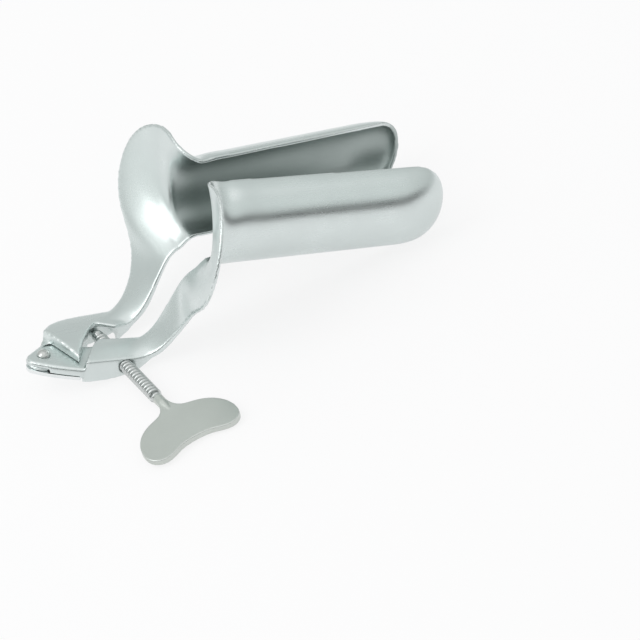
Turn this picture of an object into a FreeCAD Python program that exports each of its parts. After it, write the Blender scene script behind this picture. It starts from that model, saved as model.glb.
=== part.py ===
import FreeCAD, Part
import math
import os
from FreeCAD import Placement, Rotation, Vector

# Side-hinged bivalve speculum with a thumb screw, in millimetres.
# It is drawn in its working frame: the hinge axis is the Z axis, the top of the near hinge cheek
# is Z = 0, the closed blades point along +X and meet on the plane Y = 0. The near valve lies on
# the -Y side and the far valve on the +Y side. At the end the far valve is opened to the pose
# that is shown, and the whole instrument is laid down the way it rests on a table.

# Blades: two mirrored troughs
blade_tip_x = 167.5          # hinge axis to blade tips
blade_root_x = 70.0          # hinge axis to where the lobe begins
blade_axis_z = 57.3          # blade centre line above the hinge cheek
blade_root_width = 37.0      # outside, over the sheet's thickness
blade_tip_width = 34.2
blade_root_depth = 15.5
blade_tip_depth = 12.2
spoon_length = 22.5          # the tip closes like a spoon over this length
spoon_depth = 1.4            # depth that is left at the very end
tip_low_setback = 16.4       # the tip's lower corner is rounded back by this much
tip_high_setback = 11.2      # and its upper corner by this much
sheet_thickness = 1.8
rim_gap = 0.3                # each closed blade rim stays this far from the middle plane

# Lobe: the round flange that spreads from the mouth of each blade
lobe_radius = 26.4
lobe_centre_y = 20.0
lobe_centre_z = 55.5
lobe_centre_x = 59.3
lobe_lean_up = 5.0           # how far the lobe's top leans towards the tips
lobe_lean_out = 1.3          # how far its outer side leans towards the hinge

# Arms: straps that run from the lobes down to the hinge blocks
arm_thickness = 4.2
arm_crown = 1.9              # the strap's face is raised in its middle by this much

# Hinge blocks
block_edge_z = 3.3           # top of the blocks at their long edges
block_crown_z = 5.0          # and along their middle
block_bottom_z = -6.4
block_end_x = 43.5
near_front_y = -15.2
far_outer_y = 18.2
mating_gap = 0.35            # near block's back face to the far block, closed
overhang_gap = 0.1           # far block over the cheek's top

# Hinge: upper cheek, tongue and lower plate on one rivet
upper_cheek = 2.2
slot_height = 1.7
lower_plate = 1.5
plate_end_gap = 0.1
tongue_play = 0.05
tongue_radius = 7.4
slot_radius = 9.0
tongue_half_width = 5.0
tongue_angle = 45.0          # direction in which the tongue leaves the far block, closed
cheek_radius = 11.0          # rounded back edge of the cheeks about the hinge axis
rivet_radius = 2.0
rivet_head_radius = 2.9
rivet_head_height = 2.0
rivet_tail_radius = 2.9
rivet_tail_depth = 0.7
rivet_fit = 0.02
hinge_fit = 0.05

# Thumb screw
screw_x = 31.8               # where its axis leaves the near block's front face
screw_y = -14.9
screw_z = -0.4
screw_angle = 12.7           # its axis leans towards the tips by this angle, in degrees
screw_radius = 3.0
screw_fit = 0.05
screw_outside = 28.0         # thread that shows outside the near block
screw_inside = 29.56         # thread that runs inwards from the near block's front face
screw_tip_radius = 4.0       # rounded bearing tip
pin_radius = 1.4             # end of the rod inside the thumb wing's neck
pin_length = 6.0
pin_fit = 0.02
pocket_floor_y = 7.6         # floor of the far block's pocket, closed
pocket_start_x = 23.0
pocket_end_x = 37.0

# Thumb wing
wing_thickness = 2.6
wing_roll = 19.0             # the wing is turned by this angle from the hinge plane
neck_radius = 2.3
neck_end = 40.0              # distance from the near block at which the neck has run out

# Poses
open_angle = 14.1            # far valve, from closed to the pose that is shown
rest_up_x = -0.3440          # upward direction on the table, in the working frame
rest_up_y = -0.0425
rest_up_z = 0.9380

Z_AXIS = Vector(0, 0, 1)
ORIGIN = Vector(0, 0, 0)


def lerp(a, b, share):
    """Return the point or number that lies at share between a and b."""
    return a + (b - a) * share


def blade_station(x):
    """Return the four control points of the trough's cross-section at distance x from the hinge."""
    share = (x - blade_root_x) / (blade_tip_x - blade_root_x)
    half = lerp(blade_root_width, blade_tip_width, share) / 2 - sheet_thickness
    reach = lerp(blade_root_depth, blade_tip_depth, share) * 4 / 3
    low, high = blade_axis_z - half, blade_axis_z + half
    return (Vector(x, rim_gap, low), Vector(x, rim_gap + reach, low),
            Vector(x, rim_gap + reach, high), Vector(x, rim_gap, high))


def lobe_edge(angle):
    """Return the point of the lobe's rim at an angle about the lobe's centre, 90 degrees being up."""
    c, s = math.cos(math.radians(angle)), math.sin(math.radians(angle))
    return Vector(lobe_centre_x + lobe_lean_up * s - lobe_lean_out * c,
                  lobe_centre_y + lobe_radius * c, lobe_centre_z + lobe_radius * s)


def lobe_station(angle, inner, first, handle_angle, handle):
    """Return the control points of a section that fans from the inner edge to the lobe's rim."""
    edge = lobe_edge(angle)
    c, s = math.cos(math.radians(handle_angle)), math.sin(math.radians(handle_angle))
    return (inner, inner + first, edge + Vector(0, handle * c, handle * s), edge)


def arm_station(inner, outer, crown):
    """Return the control points of a strap section whose face is raised in its middle."""
    side = outer - inner
    up = Vector(-0.6, 0, 0.8) * (crown * 4 / 3)
    return (inner, inner + side / 3 + up, inner + side * 2 / 3 + up, outer)


def valve_stations():
    """Return the far valve's sections from the blade tip to the arm's root."""
    spoon_x = blade_tip_x - spoon_length
    straight = blade_station(spoon_x)
    tip = (blade_tip_x - tip_low_setback, blade_tip_x + 1.0, blade_tip_x + 5.6, blade_tip_x - tip_high_setback)
    rows = []
    for share in (1.0, 0.95, 0.85, 0.68, 0.4):
        end = spoon_depth * 4 / 3
        deep = straight[1].y - rim_gap - end
        reach = end + deep * math.sqrt(1 - share ** 2)
        row = [Vector(lerp(spoon_x, x, share), rim_gap, p.z) for x, p in zip(tip, straight)]
        row[1].y += reach
        row[2].y += reach
        rows.append(tuple(row))
    rows += [blade_station(x) for x in (spoon_x, 120, 100, 86, 77)]
    root = blade_station(blade_root_x)
    rows.append(tuple(p + Vector(-0.3, 0.3, 0.4 if p.z > blade_axis_z else 0) for p in root))
    rows.append(lobe_station(118, Vector(67.2, 0.5, 39.9), Vector(-0.6, 19.5, -0.3), -12, 15))
    rows.append(lobe_station(88, Vector(65.9, 0.6, 38.9), Vector(-1.0, 18.0, -0.4), -66, 14))
    rows.append(lobe_station(58, Vector(64.8, 0.7, 37.9), Vector(-1.2, 16.5, 0.0), -104, 14))
    rows.append(lobe_station(28, Vector(63.6, 0.9, 36.5), Vector(-1.4, 15.0, 0.6), -133, 14))
    rows.append(lobe_station(-2, Vector(62.2, 1.1, 35.7), Vector(-1.4, 13.5, 1.0), -155, 14))
    rows.append(lobe_station(-32, Vector(60.4, 1.3, 34.4), Vector(-1.2, 12.0, 1.2), -174, 13))
    rows.append(lobe_station(-60, Vector(58.0, 1.4, 32.0), Vector(-1.0, 10.0, 1.0), -190, 10))
    rows.append(arm_station(Vector(55.0, 1.3, 27.3), Vector(53.0, 25.2, 24.6), -0.4))
    rows.append(arm_station(Vector(51.8, 1.1, 20.6), Vector(50.6, 20.9, 17.4), 0.3))
    rows.append(arm_station(Vector(48.4, 0.9, 13.6), Vector(47.0, 18.2, 10.6), 0.9))
    rows.append(arm_station(Vector(44.6, 0.8, 8.0), Vector(43.0, 16.7, 6.0), 1.4))
    rows.append(arm_station(Vector(40.2, 0.9, 4.6), Vector(39.0, 15.7, 3.8), arm_crown))
    rows.append(arm_station(Vector(34.5, 1.5, block_edge_z), Vector(34.5, 15.0, block_edge_z), arm_crown))
    return rows


def section_point(control, v):
    """Return the point at v of the cubic curve with four control points."""
    a, b, c, d = control
    w = 1 - v
    return a * (w ** 3) + b * (3 * w * w * v) + c * (3 * w * v * v) + d * (v ** 3)


def smooth_rails(rows, knots):
    """Return four smooth curves, each through one column of the sections' control points."""
    rails = []
    for column in range(4):
        curve = Part.BSplineCurve()
        curve.interpolate(Points=[row[column] for row in rows], Parameters=knots)
        rails.append(curve)
    return rails


def valve_shell():
    """Return the far valve from blade tip to arm root, as one sheet with its real thickness."""
    rows = valve_stations()
    middle = [section_point(row, 0.5) for row in rows]
    knots = [0.0]
    for before, after in zip(middle, middle[1:]):
        knots.append(knots[-1] + math.sqrt((after - before).Length))
    knots = [k / knots[-1] for k in knots]
    rails = smooth_rails(rows, knots)
    spoon_end, blade_end, arm_start = 5, 9, 17

    def point(u, v):
        return section_point([rail.value(min(max(u, 0), 1)) for rail in rails], v)

    places = knots[:spoon_end + 1]
    for station in range(blade_end, len(knots) - 1):
        places += [knots[station], (knots[station] + knots[station + 1]) / 2]
    places.append(1.0)
    face_rows, back_rows = [], []
    for u in places:
        grow = max(0.0, (u - knots[arm_start]) / (1 - knots[arm_start]))
        thickness = lerp(sheet_thickness, arm_thickness, grow ** 1.5)
        through = []
        for v in (0, 1 / 3, 2 / 3, 1):
            along = point(min(u + 0.002, 1), v) - point(max(u - 0.002, 0), v)
            over = point(u, min(v + 0.01, 1)) - point(u, max(v - 0.01, 0))
            behind = point(u, v) + along.cross(over).normalize() * thickness
            behind.y = max(behind.y, rim_gap)
            through.append(behind)
        p, q, r, s = through
        face = [rail.value(u) for rail in rails]
        for end in (face[0], face[3]):
            end.y = max(end.y, rim_gap)
        face_rows.append(face)
        back_rows.append([p, (q * 18 - p * 5 - r * 9 + s * 2) / 6,
                          (r * 18 - s * 5 - q * 9 + p * 2) / 6, s])
    return sheet_solid(face_rows, back_rows)


def spline_face(poles, over_degree):
    """Return the ruled face between two rows of poles."""
    surface = Part.BSplineSurface()
    over = over_degree + 1
    surface.buildFromPolesMultsKnots(poles, [2, 2], [over, over], [0.0, 1.0], [0.0, 1.0],
                                     False, False, 1, over_degree)
    return surface.toShape()


def sheet_solid(face_rows, back_rows):
    """Return the solid sheet between two sides, each given by the control points of its sections."""
    rows = list(zip(face_rows, back_rows))
    faces = [spline_face(list(rows[0]), 3), spline_face(list(rows[-1]), 3)]
    for (face, back), (next_face, next_back) in zip(rows, rows[1:]):
        faces.append(spline_face([face, next_face], 3))
        faces.append(spline_face([back, next_back], 3))
        faces.append(spline_face([[face[0], back[0]], [next_face[0], next_back[0]]], 1))
        faces.append(spline_face([[face[3], back[3]], [next_face[3], next_back[3]]], 1))
    shell = Part.makeShell(faces)
    shell.sewShape()
    solid = Part.makeSolid(shell)
    return solid if solid.Volume > 0 else solid.reversed()


def prism(points, low, high):
    """Return the upright prism over an outline in X and Y."""
    corners = [Vector(x, y, low) for x, y in points]
    face = Part.Face(Part.makePolygon(corners + corners[:1]))
    return face.extrude(Vector(0, 0, high - low))


def upright(edges, low, high):
    """Return the upright prism over a closed row of edges drawn at Z = 0."""
    face = Part.Face(Part.Wire(edges))
    face.translate(Vector(0, 0, low))
    return face.extrude(Vector(0, 0, high - low))


def line(a, b):
    """Return the straight edge between two points in X and Y."""
    return Part.makeLine(Vector(a[0], a[1], 0), Vector(b[0], b[1], 0))


def arc(a, b, c):
    """Return the circular edge through three points in X and Y."""
    return Part.Arc(Vector(a[0], a[1], 0), Vector(b[0], b[1], 0), Vector(c[0], c[1], 0)).toShape()


def smooth_edge(points):
    """Return one smooth edge through points in X and Y."""
    curve = Part.BSplineCurve()
    curve.interpolate([Vector(x, y, 0) for x, y in points])
    return curve.toShape()


def side_profile():
    """Return the blocks' shape as seen along Y, as a prism right across both of them."""
    left, right, top = -12.0, block_end_x, block_crown_z + 1
    low = block_bottom_z
    a, b, c = Vector(left, 0, low), Vector(14, 0, low), Vector(36.0, 0, -3.1)
    d = Vector(right, 0, 4.2)
    edges = [Part.makeLine(a, b), Part.Arc(b, Vector(27.0, 0, low + 0.85), c).toShape(),
             Part.Arc(c, Vector(40.0, 0, 0.0), d).toShape(),
             Part.makeLine(d, Vector(right, 0, top)),
             Part.makeLine(Vector(right, 0, top), Vector(left, 0, top)),
             Part.makeLine(Vector(left, 0, top), a)]
    face = Part.Face(Part.Wire(edges))
    face.translate(Vector(0, -30, 0))
    return face.extrude(Vector(0, 60, 0))


def crown_profile(front, outer):
    """Return a prism along X whose top is raised in its middle between two long edges."""
    middle = (front + outer) / 2
    a, b = Vector(0, front, block_edge_z), Vector(0, outer, block_edge_z)
    edges = [Part.Arc(a, Vector(0, middle, block_crown_z), b).toShape(),
             Part.makeLine(b, Vector(0, outer, -12)),
             Part.makeLine(Vector(0, outer, -12), Vector(0, front, -12)),
             Part.makeLine(Vector(0, front, -12), a)]
    face = Part.Face(Part.Wire(edges))
    face.translate(Vector(-20, 0, 0))
    return face.extrude(Vector(80, 0, 0))


def cheek_outline(end_front, end_back):
    """Return the closed outline of a hinge cheek that ends on the line between two points."""
    corner = (3.0, math.sqrt(cheek_radius ** 2 - 9.0))
    mate = (10.0, math.sqrt(cheek_radius ** 2 - 100.0))
    bend = (cheek_radius * math.cos(math.radians(50)), cheek_radius * math.sin(math.radians(50)))
    return [
        smooth_edge([end_front, (3.0, -10.6), (-6.2, -5.2)]),
        arc((-6.2, -5.2), (-7.6, -1.5), (-5.6, 2.3)),
        line((-5.6, 2.3), corner),
        arc(corner, bend, mate),
        line(mate, end_back),
        line(end_back, end_front),
    ]


def tongue_outline(radius, front, far_end):
    """Return a disc about the hinge axis joined to a bar that leaves it at the tongue's angle."""
    disc = Part.makeCylinder(radius, slot_height * 3, Vector(0, 0, 0))
    bar = Part.makeBox(far_end, front + far_end, slot_height * 3, Vector(0, -front, 0))
    bar.rotate(ORIGIN, Z_AXIS, tongue_angle)
    return disc.fuse(bar)


def screw_line():
    """Return the screw axis: a point on the near block's front face and the outward direction."""
    lean = math.radians(screw_angle)
    return Vector(screw_x, screw_y, screw_z), Vector(math.sin(lean), -math.cos(lean), 0)


def hinge_bore(radius):
    """Return the long cylinder about the hinge axis."""
    return Part.makeCylinder(radius, 30, Vector(0, 0, -15))


def near_block():
    """Return the near valve's hinge block with its cheek and slot."""
    slot_top = -upper_cheek
    slot_floor = slot_top - slot_height
    front = near_front_y
    back = [(23.4, 3.3), (33.0, 1.1), (block_end_x, 0.0)]
    upper = prism([(14.0, front), (23.4, 3.3)] + back[1:] + [(block_end_x, front)], slot_floor, 7)
    lower = prism([(12.6, front), (22.2, 3.3)] + back + [(block_end_x, front)], -8, slot_floor)
    block = upper.fuse(lower).common(side_profile()).common(crown_profile(front, 3.4))
    cheek = upright(cheek_outline((14.4, front), (23.4, 3.3)), slot_floor, 0)
    slot = tongue_outline(slot_radius, tongue_half_width + 1.0, 26)
    slot.translate(Vector(0, 0, slot_floor - slot_height * 3 + slot_height))
    cheek = cheek.cut(slot)
    block = block.fuse(cheek)
    return block.cut(hinge_bore(rivet_radius + rivet_fit)).removeSplitter()


def screw_hole():
    """Return the tapped hole through the near block, at the thread's outer diameter."""
    start, outward = screw_line()
    return Part.makeCylinder(screw_radius + screw_fit, 60, start + outward * 20, outward * -1)


def screw_pocket():
    """Return the recess of the far block that the screw's tip bears in, open below and in front."""
    under = prism([(pocket_start_x, -6), (pocket_start_x, pocket_floor_y),
                   (pocket_end_x, pocket_floor_y), (pocket_end_x - 2.4, 1.2), (pocket_end_x - 3, -6)],
                  -9, screw_z + screw_radius + 0.2)
    notch = prism([(17.6, -6), (17.6, -2.0), (24.1, 5.1), (27.8, pocket_floor_y), (34.2, 1.3),
                   (34.2, -6)], 0, 12)
    return under.fuse(notch)


def far_block():
    """Return the far valve's hinge block with its tongue and the pocket for the screw's tip."""
    slot_top = -upper_cheek
    slot_floor = slot_top - slot_height
    outer_curve = [(block_end_x, 15.2), (36.8, 15.6), (29.7, 16.8), (21.4, far_outer_y - 0.4),
                   (13.5, 17.0), (8.4, 14.2), (5.2, 11.2)]
    inner_end = (block_end_x, 1.5)
    top = [line(outer_curve[-1], (9.7, -13.0)), line((9.7, -13.0), (17.6, -2.0)),
           line((17.6, -2.0), (pocket_start_x, 4.0)), line((pocket_start_x, 4.0), (34.0, 1.5)),
           line((34.0, 1.5), inner_end), line(inner_end, outer_curve[0]), smooth_edge(outer_curve)]
    upper = upright(top, overhang_gap, 7)
    mate = 4.6 + mating_gap
    under = [line(outer_curve[-1], (1.0, 6.0)), line((1.0, 6.0), (10.0, mate)),
             line((10.0, mate), (23.4, 3.3 + mating_gap)),
             line((23.4, 3.3 + mating_gap), (33.0, 1.8 + mating_gap)),
             line((33.0, 1.8 + mating_gap), inner_end),
             line(inner_end, outer_curve[0]), smooth_edge(outer_curve)]
    lower = upright(under, -8, overhang_gap + 0.5)
    lower = lower.cut(Part.makeCylinder(cheek_radius + mating_gap, 8, Vector(0, 0, -8 + overhang_gap)))
    lower = lower.common(prism([(0, -20), (60, -20), (60, 40), (0, 40)], -9, 8))
    block = upper.fuse(lower).common(side_profile()).common(crown_profile(-14.0, far_outer_y))
    bar_end = 15.5
    disc = Part.makeCylinder(tongue_radius, slot_height - 2 * tongue_play)
    bar = Part.makeBox(bar_end, 2 * tongue_half_width, slot_height - 2 * tongue_play,
                       Vector(0, -tongue_half_width, 0))
    bar.rotate(ORIGIN, Z_AXIS, tongue_angle)
    tongue = disc.fuse(bar)
    tongue.translate(Vector(0, 0, slot_floor + tongue_play))
    return block.fuse(tongue).cut(hinge_bore(rivet_radius + hinge_fit)).removeSplitter()


def hinge_plate():
    """Return the lower cheek, a plate let in under the near arm's end."""
    top = -upper_cheek - slot_height
    plate = upright(cheek_outline((12.2, near_front_y + 0.9), (21.8, 3.35)), top - lower_plate, top)
    end = prism([(12.6 - plate_end_gap, near_front_y), (22.2 - plate_end_gap, 3.3),
                 (23.2, 5.4), (40, 5), (40, -20), (12.0, -20)], -9, 0)
    tail = Part.makeCone(rivet_radius + rivet_fit, rivet_tail_radius + rivet_fit, rivet_tail_depth,
                         Vector(0, 0, top - lower_plate + rivet_tail_depth), Vector(0, 0, -1))
    return plate.cut(end).cut(hinge_bore(rivet_radius + rivet_fit)).cut(tail).removeSplitter()


def hinge_rivet():
    """Return the rivet: domed head, plain shank and a tail closed flush in its countersink."""
    bottom = -upper_cheek - slot_height - lower_plate
    r, h = rivet_head_radius, rivet_head_height
    dome = (r * r + h * h) / (2 * h)
    bend = math.asin(r / dome) / 2
    points = [Vector(0, 0, bottom), Vector(rivet_tail_radius, 0, bottom),
              Vector(rivet_radius, 0, bottom + rivet_tail_depth), Vector(rivet_radius, 0, 0),
              Vector(r, 0, 0), Vector(0, 0, h)]
    edges = [Part.makeLine(a, b) for a, b in zip(points[:4], points[1:5])]
    middle = Vector(dome * math.sin(bend), 0, h - dome + dome * math.cos(bend))
    edges.append(Part.Arc(points[4], middle, points[5]).toShape())
    edges.append(Part.makeLine(points[5], points[0]))
    return Part.Face(Part.Wire(edges)).revolve(ORIGIN, Z_AXIS, 360)


def along_screw(solid):
    """Return a solid drawn about the Z axis, placed so that Z runs outward along the screw."""
    start, outward = screw_line()
    solid.Placement = Placement(start, Rotation(Z_AXIS, outward))
    return solid


def screw_shank():
    """Return the threaded rod at its outer diameter, with a rounded tip and the pin at its end."""
    r, tip = screw_radius, screw_tip_radius
    shoulder = tip - math.sqrt(tip ** 2 - r ** 2)
    half = math.asin(r / tip) / 2
    points = [Vector(0, 0, -screw_inside), Vector(r, 0, -screw_inside + shoulder),
              Vector(r, 0, screw_outside - 0.5), Vector(r - 0.5, 0, screw_outside),
              Vector(pin_radius, 0, screw_outside),
              Vector(pin_radius, 0, screw_outside + pin_length - 0.3),
              Vector(0, 0, screw_outside + pin_length - 0.3)]
    middle = Vector(tip * math.sin(half), 0, -screw_inside + tip - tip * math.cos(half))
    edges = [Part.Arc(points[0], middle, points[1]).toShape()]
    edges += [Part.makeLine(a, b) for a, b in zip(points[1:], points[2:])]
    edges.append(Part.makeLine(points[-1], points[0]))
    return along_screw(Part.Face(Part.Wire(edges)).revolve(ORIGIN, Z_AXIS, 360))


def thumb_wing():
    """Return the kidney-shaped thumb plate with its round neck."""
    half = [(2.1, 33.0), (3.0, 36.4), (5.2, 39.6), (9.5, 41.6), (14.2, 43.9), (18.3, 47.8), (21.0, 53.0),
            (21.8, 58.4), (20.4, 63.4), (16.6, 65.9), (12.2, 65.4), (7.8, 63.5), (3.6, 62.5)]
    ring = half + [(0.0, 62.3)] + [(-w, t) for w, t in reversed(half)]
    ring = [Vector(w, 0, t) for w, t in ring]
    edges = [Part.Arc(a, b, c).toShape() for a, b, c in zip(ring[0::2], ring[1::2], ring[2::2])]
    edges.append(Part.makeLine(ring[-1], ring[0]))
    face = Part.Face(Part.Wire(edges))
    face.translate(Vector(0, -wing_thickness / 2, 0))
    plate = face.extrude(Vector(0, wing_thickness, 0))
    start = screw_outside
    neck = Part.makeCylinder(neck_radius, 34.0 - start, Vector(0, 0, start))
    taper = Part.makeCone(neck_radius, wing_thickness / 2 - 0.2, neck_end - 34.0, Vector(0, 0, 34.0))
    socket = Part.makeCylinder(pin_radius + pin_fit, pin_length, Vector(0, 0, start))
    wing = plate.fuse(neck).fuse(taper).cut(socket).removeSplitter()
    wing = along_screw(wing)
    outward = screw_line()[1]
    flat = Placement(ORIGIN, Rotation(Z_AXIS, outward)).multVec(Vector(1, 0, 0))
    level = Vector(-outward.y, outward.x, 0)
    turn = math.degrees(flat.getAngle(level)) * (1 if flat.cross(level).dot(outward) > 0 else -1)
    wing.rotate(screw_line()[0], outward, turn + wing_roll)
    return wing


def one_solid(shape):
    """Return the only solid of a shape."""
    if len(shape.Solids) != 1:
        raise ValueError("expected one solid, got %d" % len(shape.Solids))
    return shape.Solids[0]


def instrument():
    """Return the pieces in the working frame, with the far valve opened to the shown pose."""
    shell = valve_shell()
    pieces = {
        "near_valve": near_block().fuse(shell.mirror(ORIGIN, Vector(0, 1, 0))).cut(screw_hole()),
        "far_valve": far_block().fuse(shell).cut(screw_pocket()),
        "hinge_plate": hinge_plate(),
        "hinge_rivet": hinge_rivet(),
        "screw_shank": screw_shank(),
        "thumb_wing": thumb_wing(),
    }
    pieces = {name: one_solid(shape) for name, shape in pieces.items()}
    pieces["far_valve"].rotate(ORIGIN, Z_AXIS, open_angle)
    return pieces


def table_placement(shapes):
    """Return the placement that lays the instrument on a table, above the middle of its footprint."""
    turn = Rotation(Vector(rest_up_x, rest_up_y, rest_up_z), Z_AXIS)
    points = [turn.multVec(p) for shape in shapes for p in shape.tessellate(0.1)[0]]
    low = [min(p[i] for p in points) for i in range(3)]
    high = [max(p[i] for p in points) for i in range(3)]
    return Placement(Vector(-(low[0] + high[0]) / 2, -(low[1] + high[1]) / 2, -low[2]), turn)


if __name__ == "__main__":
    os.makedirs("parts", exist_ok=True)
    pieces = instrument()
    table = table_placement(pieces.values())
    for name, shape in pieces.items():
        laid = shape.copy()
        laid.transformShape(table.toMatrix())
        laid.exportStep("parts/%s.step" % name)
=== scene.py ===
import bpy
import bmesh
import math
from mathutils import Matrix, Vector


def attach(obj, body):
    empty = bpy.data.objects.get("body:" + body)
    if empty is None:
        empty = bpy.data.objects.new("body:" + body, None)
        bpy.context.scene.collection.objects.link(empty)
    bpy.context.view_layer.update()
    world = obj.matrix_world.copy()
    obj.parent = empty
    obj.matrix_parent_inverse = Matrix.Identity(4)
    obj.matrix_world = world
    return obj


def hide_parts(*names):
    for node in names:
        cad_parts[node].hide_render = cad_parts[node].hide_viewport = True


bl_info = {
    "name": "Bivalve speculum with a side screw",
    "version": (1, 0, 0),
    "blender": (4, 5, 0),
    "location": "3D View > Sidebar > Speculum",
    "description": "Builds the two valves, the hinge, the thumb screw and the studio around the packed model",
    "category": "Object",
}

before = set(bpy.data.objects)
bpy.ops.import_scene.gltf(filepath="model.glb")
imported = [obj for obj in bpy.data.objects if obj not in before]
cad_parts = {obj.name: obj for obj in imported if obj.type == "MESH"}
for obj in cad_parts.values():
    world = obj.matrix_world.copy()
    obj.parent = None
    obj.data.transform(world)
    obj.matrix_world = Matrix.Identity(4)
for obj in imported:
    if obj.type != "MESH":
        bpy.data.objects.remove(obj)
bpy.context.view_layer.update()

# The valves and the screw are drawn in millimetres in a working frame: the hinge axis is Z, the top of
# the near hinge cheek is Z = 0, and the closed blades point along X. LAID_DOWN puts that frame on the table.
WORKING_TURN = Matrix(((0.9389384760744015, -0.0075439382756916805, 0.34400236502438936),
                       (-0.0075439382756916805, 0.999067972742102, 0.042500292190513225),
                       (-0.34400236502438936, -0.042500292190513225, 0.9380064488165035)))
WORKING_ORIGIN = Vector((-0.08564790, 0.01075574, 0.01536956))
LAID_DOWN = Matrix.Translation(WORKING_ORIGIN) @ (WORKING_TURN * 0.001).to_4x4()
FAR_OPENING = Matrix.Rotation(math.radians(14.1), 4, "Z")

# Blade, lobe and hinge sizes in millimetres, as the solids have them
BLADE_TIP_X = 167.5
BLADE_ROOT_X = 70.0
BLADE_AXIS_Z = 57.3
BLADE_ROOT_WIDTH = 37.0
BLADE_TIP_WIDTH = 34.2
BLADE_ROOT_DEPTH = 15.5
BLADE_TIP_DEPTH = 12.2
SPOON_LENGTH = 22.5
SPOON_DEPTH = 1.4
TIP_LOW_SETBACK = 16.4
TIP_HIGH_SETBACK = 11.2
RIM_GAP = 0.3
LOBE_RADIUS = 26.4
LOBE_CENTRE = Vector((59.3, 20.0, 55.5))
LOBE_LEAN_UP = 5.0
LOBE_LEAN_OUT = 1.3
WIDTH_ALLOWANCE = 1.8
ARM_THICKNESS = 4.2
ARM_START = 17
SHEET_LENGTHS = 260
SHEET_CROSSINGS = 44
BLOCK_EDGE_Z = 3.3
BLOCK_CUT_X = 43.2

# Thumb screw axis: a point on the near block's front face and the outward direction
SCREW_POINT = Vector((31.8, -14.9, -0.4))
SCREW_OUTWARD = Vector((math.sin(math.radians(12.7)), -math.cos(math.radians(12.7)), 0.0))
SCREW_OUTSIDE = 28.0
SCREW_INSIDE = 29.56
THREAD_START = 5.0
WING_ACROSS = Vector((0.922, 0.208, 0.3256))
WING_GRID = 0.3
WING_POLISH = 6

# Studio, in metres: half the floor's width, and the wall's radius and height from the floor upwards
FLOOR_HALF = 4.0
WALL_PROFILE = ((3.0, 0.0), (3.0, 1.2), (2.7, 2.2), (2.0, 3.0))


class SheetSizes(bpy.types.PropertyGroup):
    """Sizes of the two pressed valves."""
    thickness: bpy.props.FloatProperty(
        name="Sheet thickness", description="Thickness of the blade and lobe, in millimetres",
        default=1.8, min=1.0, max=2.2)
    grid: bpy.props.FloatProperty(
        name="Surface grid",
        description="Distance between the points of the finished surface, in millimetres",
        default=0.54, min=0.3, max=1.0)
    polish: bpy.props.IntProperty(
        name="Polishing passes",
        description="How often the surface is smoothed, as a buffing wheel rounds it",
        default=14, min=0, max=40)


class ScrewSizes(bpy.types.PropertyGroup):
    """Sizes of the thumb screw."""
    pitch: bpy.props.FloatProperty(
        name="Thread pitch", description="Distance from turn to turn, in millimetres",
        default=2.1, min=1.0, max=3.0)
    crest_radius: bpy.props.FloatProperty(
        name="Crest radius", description="Radius of the rounded thread's crest, in millimetres",
        default=0.92, min=0.4, max=1.2)
    outer_radius: bpy.props.FloatProperty(
        name="Thread radius", description="Radius over the thread's crests, in millimetres",
        default=3.0, min=2.5, max=3.0)
    wing_thickness: bpy.props.FloatProperty(
        name="Wing thickness", description="Thickness of the thumb plate, in millimetres",
        default=2.6, min=2.0, max=2.6)


class SteelFinish(bpy.types.PropertyGroup):
    """Colour and finish of the steel."""
    colour: bpy.props.FloatVectorProperty(
        name="Steel colour", description="Colour of the satin steel",
        subtype="COLOR", size=4, min=0, max=1, default=(0.735, 0.795, 0.785, 1))
    satin: bpy.props.FloatProperty(
        name="Satin roughness", description="Roughness of the brushed faces",
        subtype="FACTOR", default=0.27, min=0, max=1)
    edge: bpy.props.FloatProperty(
        name="Edge roughness", description="Roughness of the buffed rims",
        subtype="FACTOR", default=0.18, min=0, max=1)


class StudioLevels(bpy.types.PropertyGroup):
    """Levels of the studio light, its floor and its camera."""
    floor_colour: bpy.props.FloatVectorProperty(
        name="Floor colour", description="Colour of the plain floor",
        subtype="COLOR", size=4, min=0, max=1, default=(0.93, 0.93, 0.94, 1))
    key_power: bpy.props.FloatProperty(
        name="Key power", description="Power of the large soft lamp above the left side",
        subtype="POWER", unit="POWER", default=4.5, min=0)
    fill_power: bpy.props.FloatProperty(
        name="Side power", description="Power of the low lamp on the left side",
        subtype="POWER", unit="POWER", default=0.5, min=0)
    sky_level: bpy.props.FloatProperty(
        name="Room level", description="Strength of the even light of the room",
        default=0.8, min=0, max=2)


def settings():
    """Return the four groups of settings of this object."""
    scene = bpy.context.scene
    return (scene.speculum_sheet, scene.speculum_screw, scene.speculum_steel, scene.speculum_studio)


def smooth_slopes(knots, points):
    """Return the slopes that make one smooth curve through the points."""
    last = len(points) - 1
    gaps = [b - a for a, b in zip(knots, knots[1:])]
    rises = [(b - a) / gap for a, b, gap in zip(points, points[1:], gaps)]

    def end_slope(places):
        slope = points[0] * 0
        here = knots[places[0]]
        for j in places:
            share = 0.0
            for m in places:
                if m == j:
                    continue
                part = 1 / (knots[j] - knots[m])
                for n in places:
                    if n not in (j, m):
                        part *= (here - knots[n]) / (knots[j] - knots[n])
                share += part
            slope = slope + points[j] * share
        return slope

    slopes = [end_slope([0, 1, 2, 3])]
    weights = [0.0]
    sums = [slopes[0]]
    for i in range(1, last):
        a, c = gaps[i], gaps[i - 1]
        middle = 2 * (a + c)
        right = (rises[i - 1] * a + rises[i] * c) * 3
        scale = middle - a * weights[-1]
        weights.append(c / scale)
        sums.append((right - sums[-1] * a) / scale)
    out = [end_slope([last, last - 1, last - 2, last - 3])]
    for i in range(last - 1, 0, -1):
        out.append(sums[i] - out[-1] * weights[i])
    out.append(slopes[0])
    return out[::-1]


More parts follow.
